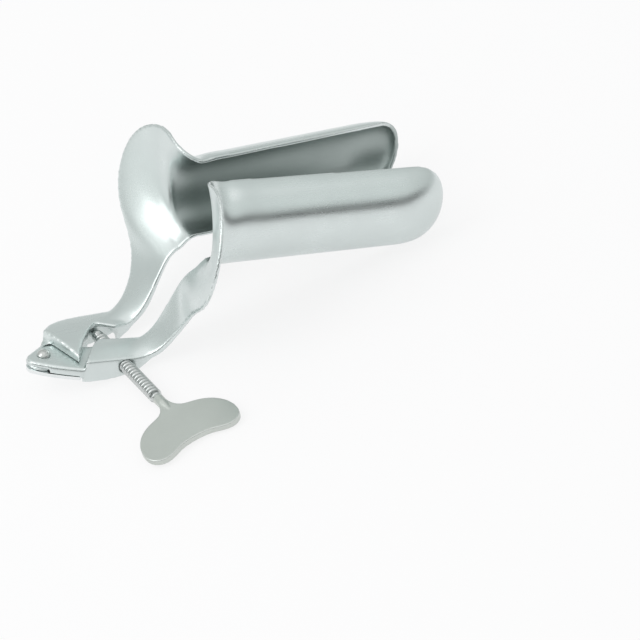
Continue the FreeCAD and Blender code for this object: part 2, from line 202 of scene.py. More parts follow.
def curve_value(knots, points, slopes, u):
    """Return the point of the smooth curve at u."""
    i = 0
    while i < len(knots) - 2 and u > knots[i + 1]:
        i += 1
    gap = knots[i + 1] - knots[i]
    t = (u - knots[i]) / gap
    return (points[i] * (2 * t ** 3 - 3 * t ** 2 + 1) + slopes[i] * (gap * (t ** 3 - 2 * t ** 2 + t))
            + points[i + 1] * (3 * t ** 2 - 2 * t ** 3) + slopes[i + 1] * (gap * (t ** 3 - t ** 2)))


def section_point(control, v):
    """Return the point at v of the cubic section with four control points."""
    a, b, c, d = control
    w = 1 - v
    return a * (w ** 3) + b * (3 * w * w * v) + c * (3 * w * v * v) + d * (v ** 3)


def blade_section(x):
    """Return the control points of the trough at distance x from the hinge."""
    share = (x - BLADE_ROOT_X) / (BLADE_TIP_X - BLADE_ROOT_X)
    width = BLADE_ROOT_WIDTH + (BLADE_TIP_WIDTH - BLADE_ROOT_WIDTH) * share
    reach = (BLADE_ROOT_DEPTH + (BLADE_TIP_DEPTH - BLADE_ROOT_DEPTH) * share) * 4 / 3
    half = width / 2 - WIDTH_ALLOWANCE
    low, high = BLADE_AXIS_Z - half, BLADE_AXIS_Z + half
    return [Vector((x, RIM_GAP, low)), Vector((x, RIM_GAP + reach, low)),
            Vector((x, RIM_GAP + reach, high)), Vector((x, RIM_GAP, high))]


def lobe_section(angle, inner, first, handle_angle, handle):
    """Return the control points of a section that fans from the inner edge to the lobe's rim."""
    c, s = math.cos(math.radians(angle)), math.sin(math.radians(angle))
    edge = LOBE_CENTRE + Vector((LOBE_LEAN_UP * s - LOBE_LEAN_OUT * c, LOBE_RADIUS * c, LOBE_RADIUS * s))
    hc, hs = math.cos(math.radians(handle_angle)), math.sin(math.radians(handle_angle))
    inner = Vector(inner)
    return [inner, inner + Vector(first), edge + Vector((0, handle * hc, handle * hs)), edge]


def arm_section(inner, outer, crown):
    """Return the control points of a strap section whose face is raised in its middle."""
    inner, outer = Vector(inner), Vector(outer)
    side = outer - inner
    up = Vector((-0.6, 0, 0.8)) * (crown * 4 / 3)
    return [inner, inner + side / 3 + up, inner + side * 2 / 3 + up, outer]


def valve_sections():
    """Return the valve's sections from the blade tip to the arm's root."""
    spoon_x = BLADE_TIP_X - SPOON_LENGTH
    straight = blade_section(spoon_x)
    tip = (BLADE_TIP_X - TIP_LOW_SETBACK, BLADE_TIP_X + 1.0, BLADE_TIP_X + 5.6,
           BLADE_TIP_X - TIP_HIGH_SETBACK)
    rows = []
    end = SPOON_DEPTH * 4 / 3
    deep = straight[1].y - RIM_GAP - end
    for share in (1.0, 0.95, 0.85, 0.68, 0.4):
        reach = end + deep * math.sqrt(1 - share ** 2)
        row = [Vector((spoon_x + (x - spoon_x) * share, RIM_GAP, p.z)) for x, p in zip(tip, straight)]
        row[1].y += reach
        row[2].y += reach
        rows.append(row)
    rows += [blade_section(x) for x in (spoon_x, 120, 100, 86, 77)]
    rows.append([p + Vector((-0.3, 0.3, 0.4 if p.z > BLADE_AXIS_Z else 0))
                 for p in blade_section(BLADE_ROOT_X)])
    rows.append(lobe_section(118, (67.2, 0.5, 39.9), (-0.6, 19.5, -0.3), -12, 15))
    rows.append(lobe_section(88, (65.9, 0.6, 38.9), (-1.0, 18.0, -0.4), -66, 14))
    rows.append(lobe_section(58, (64.8, 0.7, 37.9), (-1.2, 16.5, 0.0), -104, 14))
    rows.append(lobe_section(28, (63.6, 0.9, 36.5), (-1.4, 15.0, 0.6), -133, 14))
    rows.append(lobe_section(-2, (62.2, 1.1, 35.7), (-1.4, 13.5, 1.0), -155, 14))
    rows.append(lobe_section(-32, (60.4, 1.3, 34.4), (-1.2, 12.0, 1.2), -174, 13))
    rows.append(lobe_section(-60, (58.0, 1.4, 32.0), (-1.0, 10.0, 1.0), -190, 10))
    rows.append(arm_section((55.0, 1.3, 27.3), (53.0, 25.2, 24.6), -0.4))
    rows.append(arm_section((51.8, 1.1, 20.6), (50.6, 20.9, 17.4), 0.3))
    rows.append(arm_section((48.4, 0.9, 13.6), (47.0, 18.2, 10.6), 0.9))
    rows.append(arm_section((44.6, 0.8, 8.0), (43.0, 16.7, 6.0), 1.4))
    rows.append(arm_section((40.2, 0.9, 4.6), (39.0, 15.7, 3.8), 1.9))
    rows.append(arm_section((34.5, 1.5, BLOCK_EDGE_Z), (34.5, 15.0, BLOCK_EDGE_Z), 1.9))
    return rows


def sheet_mesh(thickness):
    """Return a closed mesh of the far valve's blade, lobe and arm, closed pose, in millimetres."""
    rows = valve_sections()
    middle = [section_point(row, 0.5) for row in rows]
    knots = [0.0]
    for before, after in zip(middle, middle[1:]):
        knots.append(knots[-1] + math.sqrt((after - before).length))
    knots = [k / knots[-1] for k in knots]
    rails = []
    for column in range(4):
        points = [row[column] for row in rows]
        rails.append((points, smooth_slopes(knots, points)))

    def control(u):
        return [curve_value(knots, points, slopes, u) for points, slopes in rails]

    lengths, crossings = SHEET_LENGTHS, SHEET_CROSSINGS
    face, back = [], []
    for i in range(lengths + 1):
        u = i / lengths
        here = control(u)
        before, after = control(max(u - 0.002, 0)), control(min(u + 0.002, 1))
        grow = max(0.0, (u - knots[ARM_START]) / (1 - knots[ARM_START]))
        wall = thickness + (ARM_THICKNESS - thickness) * grow ** 1.5
        for j in range(crossings + 1):
            v = j / crossings
            point = section_point(here, v)
            along = section_point(after, v) - section_point(before, v)
            over = section_point(here, min(v + 0.01, 1)) - section_point(here, max(v - 0.01, 0))
            behind = point + along.cross(over).normalized() * wall
            point.y = max(point.y, RIM_GAP)
            behind.y = max(behind.y, RIM_GAP)
            face.append(point)
            back.append(behind)
    wide = crossings + 1
    count = len(face)
    quads = []
    for i in range(lengths):
        for j in range(crossings):
            a = i * wide + j
            quads.append((a, a + 1, a + 1 + wide, a + wide))
            quads.append((count + a, count + a + wide, count + a + 1 + wide, count + a + 1))
        for a, turn in ((i * wide, 1), (i * wide + crossings, -1)):
            quads.append((a, a + wide, count + a + wide, count + a)[::turn])
    for j in range(crossings):
        for a, turn in ((j, -1), (lengths * wide + j, 1)):
            quads.append((a, a + 1, count + a + 1, count + a)[::turn])
    mesh = bpy.data.meshes.new("valve sheet")
    mesh.from_pydata([tuple(p) for p in face + back], [], quads)
    return mesh


def block_mesh(name, working):
    """Return a closed copy of a valve node's hinge block, in millimetres in the working frame."""
    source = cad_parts[name].data
    bm = bmesh.new()
    bm.from_mesh(source)
    bm.transform(working)
    bmesh.ops.remove_doubles(bm, verts=bm.verts, dist=0.002)
    cut = bmesh.ops.bisect_plane(bm, geom=bm.verts[:] + bm.edges[:] + bm.faces[:],
                                 plane_co=(BLOCK_CUT_X, 0, 0), plane_no=(1, 0, 0), clear_outer=True)
    rim = [e for e in cut["geom_cut"] if isinstance(e, bmesh.types.BMEdge)]
    bmesh.ops.holes_fill(bm, edges=rim, sides=0)
    bmesh.ops.triangulate(bm, faces=[f for f in bm.faces if len(f.verts) > 4])
    mesh = bpy.data.meshes.new(name + " block")
    bm.to_mesh(mesh)
    bm.free()
    return mesh


def merged(meshes, name):
    """Return one mesh with the faces of several."""
    bm = bmesh.new()
    for mesh in meshes:
        bm.from_mesh(mesh)
    out = bpy.data.meshes.new(name)
    bm.to_mesh(out)
    bm.free()
    for mesh in meshes:
        bpy.data.meshes.remove(mesh)
    return out


def forged(mesh, grid, polish):
    """Return one smooth closed skin over a mesh, with its edges rounded as by polishing."""
    blank = bpy.data.objects.new("blank", mesh)
    bpy.context.scene.collection.objects.link(blank)
    skin = blank.modifiers.new("skin", "REMESH")
    skin.mode = "VOXEL"
    skin.voxel_size = grid
    skin.use_smooth_shade = True
    if polish:
        buff = blank.modifiers.new("buff", "SMOOTH")
        buff.factor = 0.5
        buff.iterations = polish
    bpy.context.view_layer.update()
    deps = bpy.context.evaluated_depsgraph_get()
    result = bpy.data.meshes.new_from_object(blank.evaluated_get(deps))
    bpy.data.objects.remove(blank)
    bpy.data.meshes.remove(mesh)
    return result


def ease(value, low, high):
    """Return 0 below low, 1 above high and a smooth step between them."""
    t = min(max((value - low) / (high - low), 0.0), 1.0)
    return t * t * (3 - 2 * t)


def paint_inner_shade(mesh, facing):
    """Store for each point of a closed valve how much painted shade darkens its inner face and how much
    rougher that face is.
    """
    shade = mesh.attributes.new("inner_matte_and_shade", "FLOAT", "POINT")
    for vertex, value in zip(mesh.vertices, shade.data):
        x, y = vertex.co.x, abs(vertex.co.y)
        inner = ease(vertex.normal.y * facing, -0.15, 0.3) * ease(y, 0.7, 1.8)
        # Painted shade: strongest in the throat between x 60 and 79 mm, a little weaker towards the tip.
        depth = 0.88 * ease(x, 60.0, 79.0) * (1 - 0.3 * ease(x, 85.0, 165.0))
        value.value = inner * depth


def laid_piece(name, mesh, material, body, nodes):
    """Add a finished piece at the origin, give it its steel, attach it to its body and hide the nodes it
    replaces.
    """
    if len(mesh.polygons) == 0:
        raise RuntimeError(name + " has no faces")
    mesh.name = name
    for face in mesh.polygons:
        face.use_smooth = True
    mesh.materials.clear()
    mesh.materials.append(material)
    piece = bpy.data.objects.new(name, mesh)
    bpy.context.scene.collection.objects.link(piece)
    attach(piece, body)
    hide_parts(*nodes)
    return piece


def turned_mesh(name, profile, steps=64):
    """Return the closed mesh that a profile of radius and height makes about the Z axis."""
    points, faces, rings = [], [], []
    for radius, height in profile:
        if radius == 0:
            rings.append([len(points)])
            points.append((0, 0, height))
            continue
        rings.append(list(range(len(points), len(points) + steps)))
        for k in range(steps):
            turn = 2 * math.pi * k / steps
            points.append((radius * math.cos(turn), radius * math.sin(turn), height))
    for low, high in zip(rings, rings[1:]):
        for k in range(steps):
            n = (k + 1) % steps
            if len(low) == 1:
                faces.append((low[0], high[n], high[k]))
            elif len(high) == 1:
                faces.append((low[k], low[n], high[0]))
            else:
                faces.append((low[k], low[n], high[n], high[k]))
    mesh = bpy.data.meshes.new(name)
    mesh.from_pydata(points, [], faces)
    bm = bmesh.new()
    bm.from_mesh(mesh)
    bmesh.ops.recalc_face_normals(bm, faces=bm.faces)
    bm.to_mesh(mesh)
    bm.free()
    return mesh


def screw_placement():
    """Return the matrix whose Z axis runs outward along the screw and whose Y axis runs across the wing."""
    outward = SCREW_OUTWARD
    across = (WING_ACROSS - outward * WING_ACROSS.dot(outward)).normalized()
    face = across.cross(outward).normalized()
    turn = Matrix((face, across, outward)).transposed().to_4x4()
    return Matrix.Translation(SCREW_POINT) @ turn


def new_group(name, inputs, outputs):
    """Return an empty shader group with named sockets, and its input and output nodes."""
    tree = bpy.data.node_groups.new(name, "ShaderNodeTree")
    for label, kind, value in inputs:
        socket = tree.interface.new_socket(label, in_out="INPUT", socket_type=kind)
        if value is not None:
            socket.default_value = value
    for label, kind in outputs:
        tree.interface.new_socket(label, in_out="OUTPUT", socket_type=kind)
    return tree, tree.nodes.new("NodeGroupInput"), tree.nodes.new("NodeGroupOutput")


def node(tree, kind, **values):
    """Add a node to a tree and set its plain properties."""
    made = tree.nodes.new(kind)
    for key, value in values.items():
        setattr(made, key, value)
    return made


def maths(tree, operation, a, b=None, clamp=False):
    """Add a math node with two inputs, each a number or a socket, and return its output."""
    made = node(tree, "ShaderNodeMath", operation=operation, use_clamp=clamp)
    for socket, value in zip(made.inputs, (a, b)):
        if value is None:
            continue
        if isinstance(value, (int, float)):
            socket.default_value = value
        else:
            tree.links.new(value, socket)
    return made.outputs[0]


def spread(tree, value, low, high, to_low, to_high):
    """Add a node that maps a range onto another, clamped, and return its output."""
    made = node(tree, "ShaderNodeMapRange")
    tree.links.new(value, made.inputs["Value"])
    for label, number in (("From Min", low), ("From Max", high), ("To Min", to_low), ("To Max", to_high)):
        if isinstance(number, (int, float)):
            made.inputs[label].default_value = number
        else:
            tree.links.new(number, made.inputs[label])
    return made.outputs["Result"]


def brushing_group():
    """Make the group for the fine strokes that a belt leaves along a steel face."""
    tree, start, end = new_group(
        "Belt strokes",
        [("Vector", "NodeSocketVector", None), ("Fineness", "NodeSocketFloat", 2600.0),
         ("Length", "NodeSocketFloat", 60.0)],
        [("Stroke", "NodeSocketFloat"), ("Height", "NodeSocketFloat")])
    scale = node(tree, "ShaderNodeCombineXYZ")
    tree.links.new(start.outputs["Length"], scale.inputs[0])
    tree.links.new(start.outputs["Fineness"], scale.inputs[1])
    tree.links.new(start.outputs["Fineness"], scale.inputs[2])
    stretch = node(tree, "ShaderNodeVectorMath", operation="MULTIPLY")
    tree.links.new(start.outputs["Vector"], stretch.inputs[0])
    tree.links.new(scale.outputs[0], stretch.inputs[1])
    fine = node(tree, "ShaderNodeTexNoise")
    fine.inputs["Scale"].default_value = 1.0
    fine.inputs["Detail"].default_value = 3.0
    tree.links.new(stretch.outputs[0], fine.inputs["Vector"])
    broad = node(tree, "ShaderNodeTexNoise")
    broad.inputs["Scale"].default_value = 0.23
    broad.inputs["Detail"].default_value = 2.0
    tree.links.new(stretch.outputs[0], broad.inputs["Vector"])
    both = maths(tree, "ADD", maths(tree, "MULTIPLY", fine.outputs["Fac"], 0.6),
                 maths(tree, "MULTIPLY", broad.outputs["Fac"], 0.4))
    tree.links.new(both, end.inputs["Height"])
    tree.links.new(spread(tree, both, 0.36, 0.64, 0.0, 1.0), end.inputs["Stroke"])
    return tree


def rim_group():
    """Make the group for buffed, rounded edges, which get a painted highlight and a lower roughness, and for
    concave creases, which get painted shade.
    """
    tree, start, end = new_group(
        "Buffed rims",
        [("Reach", "NodeSocketFloat", 0.6)],
        [("Rim", "NodeSocketFloat"), ("Crease shade", "NodeSocketFloat")])
    shape = node(tree, "ShaderNodeNewGeometry")
    tree.links.new(spread(tree, shape.outputs["Pointiness"], 0.515, start.outputs["Reach"], 0.0, 1.0),
                   end.inputs["Rim"])
    # Crease shade: painted shade where the surface is concave.
    tree.links.new(spread(tree, shape.outputs["Pointiness"], 0.44, 0.495, 1.0, 0.0), end.inputs["Crease shade"])
    return tree


def handling_group():
    """Make the group for the faint clouding, pin spots and hairline scratches of use and washing."""
    tree, start, end = new_group(
        "Handling marks",
        [("Vector", "NodeSocketVector", None), ("Cloud size", "NodeSocketFloat", 38.0),
         ("Scratch size", "NodeSocketFloat", 240.0)],
        [("Cloud", "NodeSocketFloat"), ("Scratch", "NodeSocketFloat"), ("Spot", "NodeSocketFloat")])
    cloud = node(tree, "ShaderNodeTexNoise")
    cloud.inputs["Detail"].default_value = 4.0
    cloud.inputs["Roughness"].default_value = 0.55
    tree.links.new(start.outputs["Vector"], cloud.inputs["Vector"])
    tree.links.new(start.outputs["Cloud size"], cloud.inputs["Scale"])
    tree.links.new(spread(tree, cloud.outputs["Fac"], 0.35, 0.68, 0.0, 1.0), end.inputs["Cloud"])
    bend = node(tree, "ShaderNodeTexNoise")
    bend.inputs["Scale"].default_value = 24.0
    tree.links.new(start.outputs["Vector"], bend.inputs["Vector"])
    shift = node(tree, "ShaderNodeVectorMath", operation="MULTIPLY_ADD")
    shift.inputs[1].default_value = (0.012, 0.012, 0.012)
    tree.links.new(bend.outputs["Color"], shift.inputs[0])
    tree.links.new(start.outputs["Vector"], shift.inputs[2])
    cells = node(tree, "ShaderNodeTexVoronoi", feature="DISTANCE_TO_EDGE")
    tree.links.new(shift.outputs[0], cells.inputs["Vector"])
    tree.links.new(start.outputs["Scratch size"], cells.inputs["Scale"])
    line = spread(tree, cells.outputs["Distance"], 0.0, 0.03, 1.0, 0.0)
    patch = node(tree, "ShaderNodeTexNoise")
    patch.inputs["Scale"].default_value = 90.0
    tree.links.new(start.outputs["Vector"], patch.inputs["Vector"])
    few = spread(tree, patch.outputs["Fac"], 0.55, 0.66, 0.0, 1.0)
    tree.links.new(maths(tree, "MULTIPLY", line, few), end.inputs["Scratch"])
    spots = node(tree, "ShaderNodeTexVoronoi", feature="F1")
    spots.inputs["Scale"].default_value = 420.0
    tree.links.new(start.outputs["Vector"], spots.inputs["Vector"])
    dot = spread(tree, spots.outputs["Distance"], 0.05, 0.16, 1.0, 0.0)
    tree.links.new(maths(tree, "MULTIPLY", dot, few), end.inputs["Spot"])
    return tree


def steel(name, turn, colour, satin, edge, groups, stroke=0.035, fineness=3200.0, length=45.0, cloud=0.04):
    """Return a satin steel with belt strokes in one direction, buffed rims with a painted highlight, painted
    shade in creases and on the valves' inner faces, and handling marks.
    """
    material = bpy.data.materials.new(name)
    material.use_nodes = True
    tree = material.node_tree
    shader = tree.nodes["Principled BSDF"]
    shader.inputs["Metallic"].default_value = 1.0
    place = node(tree, "ShaderNodeTexCoord")
    grain_place = node(tree, "ShaderNodeMapping")
    grain_place.inputs["Rotation"].default_value = turn
    tree.links.new(place.outputs["Object"], grain_place.inputs["Vector"])
    strokes = node(tree, "ShaderNodeGroup", node_tree=groups["strokes"])
    strokes.inputs["Fineness"].default_value = fineness
    strokes.inputs["Length"].default_value = length
    tree.links.new(grain_place.outputs[0], strokes.inputs["Vector"])
    rims = node(tree, "ShaderNodeGroup", node_tree=groups["rims"])
    marks = node(tree, "ShaderNodeGroup", node_tree=groups["marks"])
    tree.links.new(place.outputs["Object"], marks.inputs["Vector"])

    tint = node(tree, "ShaderNodeMix", data_type="RGBA")
    tint.inputs["A"].default_value = colour
    tint.inputs["B"].default_value = [c * 0.86 for c in colour[:3]] + [1]
    # Darker tint: faint clouding from handling, plus painted shade in the concave creases.
    clouding_and_crease_shade = maths(tree, "MULTIPLY", marks.outputs["Cloud"], 0.45)
    clouding_and_crease_shade = maths(tree, "ADD", clouding_and_crease_shade, maths(tree, "MULTIPLY", rims.outputs["Crease shade"], 0.9), clamp=True)
    tree.links.new(clouding_and_crease_shade, tint.inputs["Factor"])
    # Painted shade on the valves' inner faces: the stored amount mixes in a dark colour, and it also raises
    # the roughness for a duller inner finish.
    inner_matte_and_shade = node(tree, "ShaderNodeAttribute", attribute_name="inner_matte_and_shade")
    inner_shade_mix = node(tree, "ShaderNodeMix", data_type="RGBA")
    inner_shade_mix.inputs["B"].default_value = (0.25, 0.3, 0.285, 1)
    tree.links.new(tint.outputs["Result"], inner_shade_mix.inputs["A"])
    tree.links.new(inner_matte_and_shade.outputs["Fac"], inner_shade_mix.inputs["Factor"])
    # Painted highlight: a pale colour on the convex rims, kept off the shaded inner faces.
    painted_rim_highlight = node(tree, "ShaderNodeMix", data_type="RGBA")
    painted_rim_highlight.inputs["B"].default_value = (0.9, 0.915, 0.92, 1)
    tree.links.new(inner_shade_mix.outputs["Result"], painted_rim_highlight.inputs["A"])
    outside = maths(tree, "SUBTRACT", 0.75, inner_matte_and_shade.outputs["Fac"], clamp=True)
    tree.links.new(maths(tree, "MULTIPLY", rims.outputs["Rim"], outside), painted_rim_highlight.inputs["Factor"])
    tree.links.new(painted_rim_highlight.outputs["Result"], shader.inputs["Base Color"])

    rough = maths(tree, "ADD", maths(tree, "MULTIPLY", strokes.outputs["Stroke"], stroke), satin - stroke / 2)
    rough = maths(tree, "ADD", rough, maths(tree, "MULTIPLY", marks.outputs["Cloud"], cloud))
    rough = maths(tree, "ADD", rough, maths(tree, "MULTIPLY", marks.outputs["Scratch"], 0.12))
    rough = maths(tree, "ADD", rough, maths(tree, "MULTIPLY", inner_matte_and_shade.outputs["Fac"], 0.16))
    polished = node(tree, "ShaderNodeMix", data_type="FLOAT")
    polished.inputs["B"].default_value = edge
    tree.links.new(rims.outputs["Rim"], polished.inputs["Factor"])
    tree.links.new(rough, polished.inputs["A"])
    tree.links.new(polished.outputs["Result"], shader.inputs["Roughness"])

    height = maths(tree, "SUBTRACT", strokes.outputs["Height"],
                   maths(tree, "MULTIPLY", marks.outputs["Spot"], 0.5))
    bump = node(tree, "ShaderNodeBump")
    bump.inputs["Strength"].default_value = 0.12
    bump.inputs["Distance"].default_value = 0.00002
    tree.links.new(height, bump.inputs["Height"])
    tree.links.new(bump.outputs["Normal"], shader.inputs["Normal"])
    return material


def steels():
    """Return the steels of the object, made once."""
    if "near valve steel" not in bpy.data.materials:
        groups = {"strokes": brushing_group(), "rims": rim_group(), "marks": handling_group()}
        finish = settings()[2]
        colour = tuple(finish.colour)
        down = math.radians(20.1)
        steel("near valve steel", (0, -down, 0), colour, finish.satin, finish.edge, groups)
        steel("far valve steel", (0, -down, math.radians(-14.1)), colour, finish.satin, finish.edge, groups)
        steel("hinge plate steel", (0, -down, 0), colour, 0.36, finish.edge, groups, length=200.0)
        steel("screw steel", (0, 0, 0), (0.56, 0.585, 0.575, 1), 0.22, 0.16, groups,
              stroke=0.04, length=900.0)
        steel("wing steel", (0, 0, math.radians(35)), (0.64, 0.675, 0.64, 1), 0.36, finish.edge, groups,
              stroke=0.06)
        steel("rivet steel", (0, 0, 0), (0.6, 0.62, 0.6, 1), 0.2, 0.16, groups,
              fineness=1800.0, length=1800.0)
    return bpy.data.materials


class SPECULUM_OT_valves(bpy.types.Operator):
    """Build both valves, each one skin from blade tip to hinge cheek"""
    bl_idname = "speculum.valves"
    bl_label = "Build the valves"

    def execute(self, context):
        sheet = settings()[0]
        metals = steels()
        to_working = LAID_DOWN.inverted()
        mirror = Matrix.Scale(-1, 4, (0, 1, 0))
        plans = (("near_valve", "near", to_working, Matrix.Identity(4), mirror, "near valve steel"),
                 ("far_valve", "far", FAR_OPENING.inverted() @ to_working, FAR_OPENING,
                  Matrix.Identity(4), "far valve steel"))
        for name, body, working, opening, hand, metal in plans:
            shell = sheet_mesh(sheet.thickness)
            shell.transform(hand)
            if body == "near":
                shell.flip_normals()
            whole = merged([shell, block_mesh(name, working)], name)
            skin = forged(whole, sheet.grid, sheet.polish)
            paint_inner_shade(skin, -1 if body == "far" else 1)
            skin.transform(LAID_DOWN @ opening)
            laid_piece(name + "_skin", skin, metals[metal], body, [name])
        return {"FINISHED"}


def thread_tree(material):
    """Return the node tree that winds a rounded thread about the Z axis."""
    tree = bpy.data.node_groups.new("Rounded thread", "GeometryNodeTree")
    for label, kind, value in (("Pitch", "NodeSocketFloat", 2.1), ("Turns", "NodeSocketFloat", 25.0),
                               ("Thread radius", "NodeSocketFloat", 3.0),
                               ("Crest radius", "NodeSocketFloat", 0.9),
                               ("Steps per turn", "NodeSocketInt", 48)):
        socket = tree.interface.new_socket(label, in_out="INPUT", socket_type=kind)
        socket.default_value = value
    tree.interface.new_socket("Geometry", in_out="OUTPUT", socket_type="NodeSocketGeometry")
    start = tree.nodes.new("NodeGroupInput")
    end = tree.nodes.new("NodeGroupOutput")
    links = tree.links

    def combined(operation, a, b):
        made = tree.nodes.new("ShaderNodeMath")
        made.operation = operation
        links.new(a, made.inputs[0])
        links.new(b, made.inputs[1])
        return made.outputs[0]

    centre = combined("SUBTRACT", start.outputs["Thread radius"], start.outputs["Crest radius"])
    height = combined("MULTIPLY", start.outputs["Pitch"], start.outputs["Turns"])
    spiral = tree.nodes.new("GeometryNodeCurveSpiral")
    links.new(start.outputs["Steps per turn"], spiral.inputs["Resolution"])
    links.new(start.outputs["Turns"], spiral.inputs["Rotations"])
    links.new(centre, spiral.inputs["Start Radius"])
    links.new(centre, spiral.inputs["End Radius"])
    links.new(height, spiral.inputs["Height"])
    crest = tree.nodes.new("GeometryNodeCurvePrimitiveCircle")
    crest.inputs["Resolution"].default_value = 16
    links.new(start.outputs["Crest radius"], crest.inputs["Radius"])
    tube = tree.nodes.new("GeometryNodeCurveToMesh")
    tube.inputs["Fill Caps"].default_value = True
    links.new(spiral.outputs[0], tube.inputs["Curve"])
    links.new(crest.outputs[0], tube.inputs["Profile Curve"])
    real = tree.nodes.new("GeometryNodeRealizeInstances")
    links.new(tube.outputs[0], real.inputs[0])
    finish = tree.nodes.new("GeometryNodeSetMaterial")
    finish.inputs["Material"].default_value = material
    links.new(real.outputs[0], finish.inputs["Geometry"])
    links.new(finish.outputs[0], end.inputs[0])
    return tree


class SPECULUM_OT_screw(bpy.types.Operator):
    """Build the threaded rod with its wound thread, bearing tip and plain end"""
    bl_idname = "speculum.screw"
    bl_label = "Build the threaded rod"

    def execute(self, context):
        sizes = settings()[1]
        metal = steels()["screw steel"]
        radius = sizes.outer_radius
        core = radius - sizes.crest_radius * 0.98
        low, high = -SCREW_INSIDE, SCREW_OUTSIDE
        thread_low = low + THREAD_START
        turns = (high - 1.6 - thread_low) / sizes.pitch
        blank = bpy.data.objects.new("thread blank", bpy.data.meshes.new("thread blank"))
        context.scene.collection.objects.link(blank)
        wind = blank.modifiers.new("wind", "NODES")
        tree = thread_tree(metal)
        wind.node_group = tree
        values = {"Pitch": sizes.pitch, "Turns": turns, "Thread radius": radius,
                  "Crest radius": sizes.crest_radius}
        for item in tree.interface.items_tree:
            if item.in_out == "INPUT" and item.name in values:
                wind[item.identifier] = values[item.name]
        context.view_layer.update()
        thread = bpy.data.meshes.new_from_object(blank.evaluated_get(context.evaluated_depsgraph_get()))
        blank.modifiers.clear()
        bpy.data.objects.remove(blank)
        thread.transform(Matrix.Translation((0, 0, thread_low)))
        rod = turned_mesh("rod", [(0, low + 0.25), (0.9, low + 0.35), (1.6, low + 0.6), (2.15, low + 1.05),
                                  (2.5, low + 1.7), (2.6, low + 2.5), (2.6, low + 3.4), (core, low + 4.0),
                                  (core, high - 1.5), (2.3, high - 1.1), (2.45, high - 0.6),
                                  (2.3, high - 0.1),
                                  (1.4, high), (1.38, high + 5.6), (0, high + 5.7)])
        whole = merged([thread, rod], "thumb_screw_rod")
        whole.transform(LAID_DOWN @ screw_placement())
        laid_piece("thumb_screw_rod", whole, metal, "rod", ["screw_shank"])
        return {"FINISHED"}


def wing_outline(steps=6):
    """Return the kidney outline of the thumb plate, across and along the screw, in millimetres."""
    half = [(2.1, 33.0), (3.0, 36.4), (5.2, 39.6), (9.5, 41.6), (14.2, 43.9), (18.3, 47.8), (21.0, 53.0),
            (21.8, 58.4), (20.4, 63.4), (16.6, 65.9), (12.2, 65.4), (7.8, 63.5), (3.6, 62.5)]
    ring = half + [(0.0, 62.3)] + [(-w, t) for w, t in reversed(half)]
    points = [Vector((w, t)) for w, t in ring]
    knots = [0.0]
    for a, b in zip(points, points[1:]):
        knots.append(knots[-1] + (b - a).length)
    slopes = smooth_slopes(knots, points)
    out = []
    for k in range(len(points) - 1):
        for s in range(steps):
            out.append(curve_value(knots, points, slopes, knots[k] + (knots[k + 1] - knots[k]) * s / steps))
    return out + [points[-1]]


class SPECULUM_OT_wing(bpy.types.Operator):
    """Build the thumb plate with its round neck as one skin"""
    bl_idname = "speculum.wing"
    bl_label = "Build the thumb wing"

    def execute(self, context):
        sizes = settings()[1]
        metal = steels()["wing steel"]
        thick = sizes.wing_thickness / 2
        outline = wing_outline()
        bm = bmesh.new()
        low = [bm.verts.new((-thick, p.x, p.y)) for p in outline]
        high = [bm.verts.new((thick, p.x, p.y)) for p in outline]
        bm.faces.new(low)
        bm.faces.new(high[::-1])
        for k in range(len(outline)):
            n = (k + 1) % len(outline)
            bm.faces.new((low[k], high[k], high[n], low[n]))
        bmesh.ops.triangulate(bm, faces=[f for f in bm.faces if len(f.verts) > 4])
        bmesh.ops.recalc_face_normals(bm, faces=bm.faces)
        plate = bpy.data.meshes.new("plate")
        bm.to_mesh(plate)
        bm.free()
        start = SCREW_OUTSIDE
        neck = turned_mesh("neck", [(0, start + 0.05), (2.2, start + 0.05), (2.28, start + 0.3), (2.28, 33.0),
                                    (2.1, 34.5), (1.8, 36.6), (1.45, 39.0), (1.2, 41.0), (0, 41.2)])
        whole = forged(merged([plate, neck], "wing"), WING_GRID, WING_POLISH)
        whole.transform(LAID_DOWN @ screw_placement())
        laid_piece("thumb_wing_plate", whole, metal, "wing", ["thumb_wing"])
        return {"FINISHED"}


class SPECULUM_OT_hinge(bpy.types.Operator):
    """Build the hinge rivet and give the hinge plate its steel"""
    bl_idname = "speculum.hinge"
    bl_label = "Build the hinge"

    def execute(self, context):
        metals = steels()
        dome = [(0.0, -5.4), (2.88, -5.4), (2.0, -4.7), (2.0, 0.0), (2.86, 0.0), (2.9, 0.12), (2.84, 0.36),
                (2.62, 0.78), (2.24, 1.22), (1.72, 1.6), (1.1, 1.86), (0.5, 1.97), (0.0, 1.99)]
        rivet = turned_mesh("hinge_rivet_head", dome, 48)
        rivet.transform(LAID_DOWN)
        laid_piece("hinge_rivet_head", rivet, metals["rivet steel"], "near", ["hinge_rivet"])
        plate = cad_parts["hinge_plate"].data
        if not plate.materials:
            plate.materials.append(None)
        for index in range(len(plate.materials)):
            plate.materials[index] = metals["hinge plate steel"]
        return {"FINISHED"}


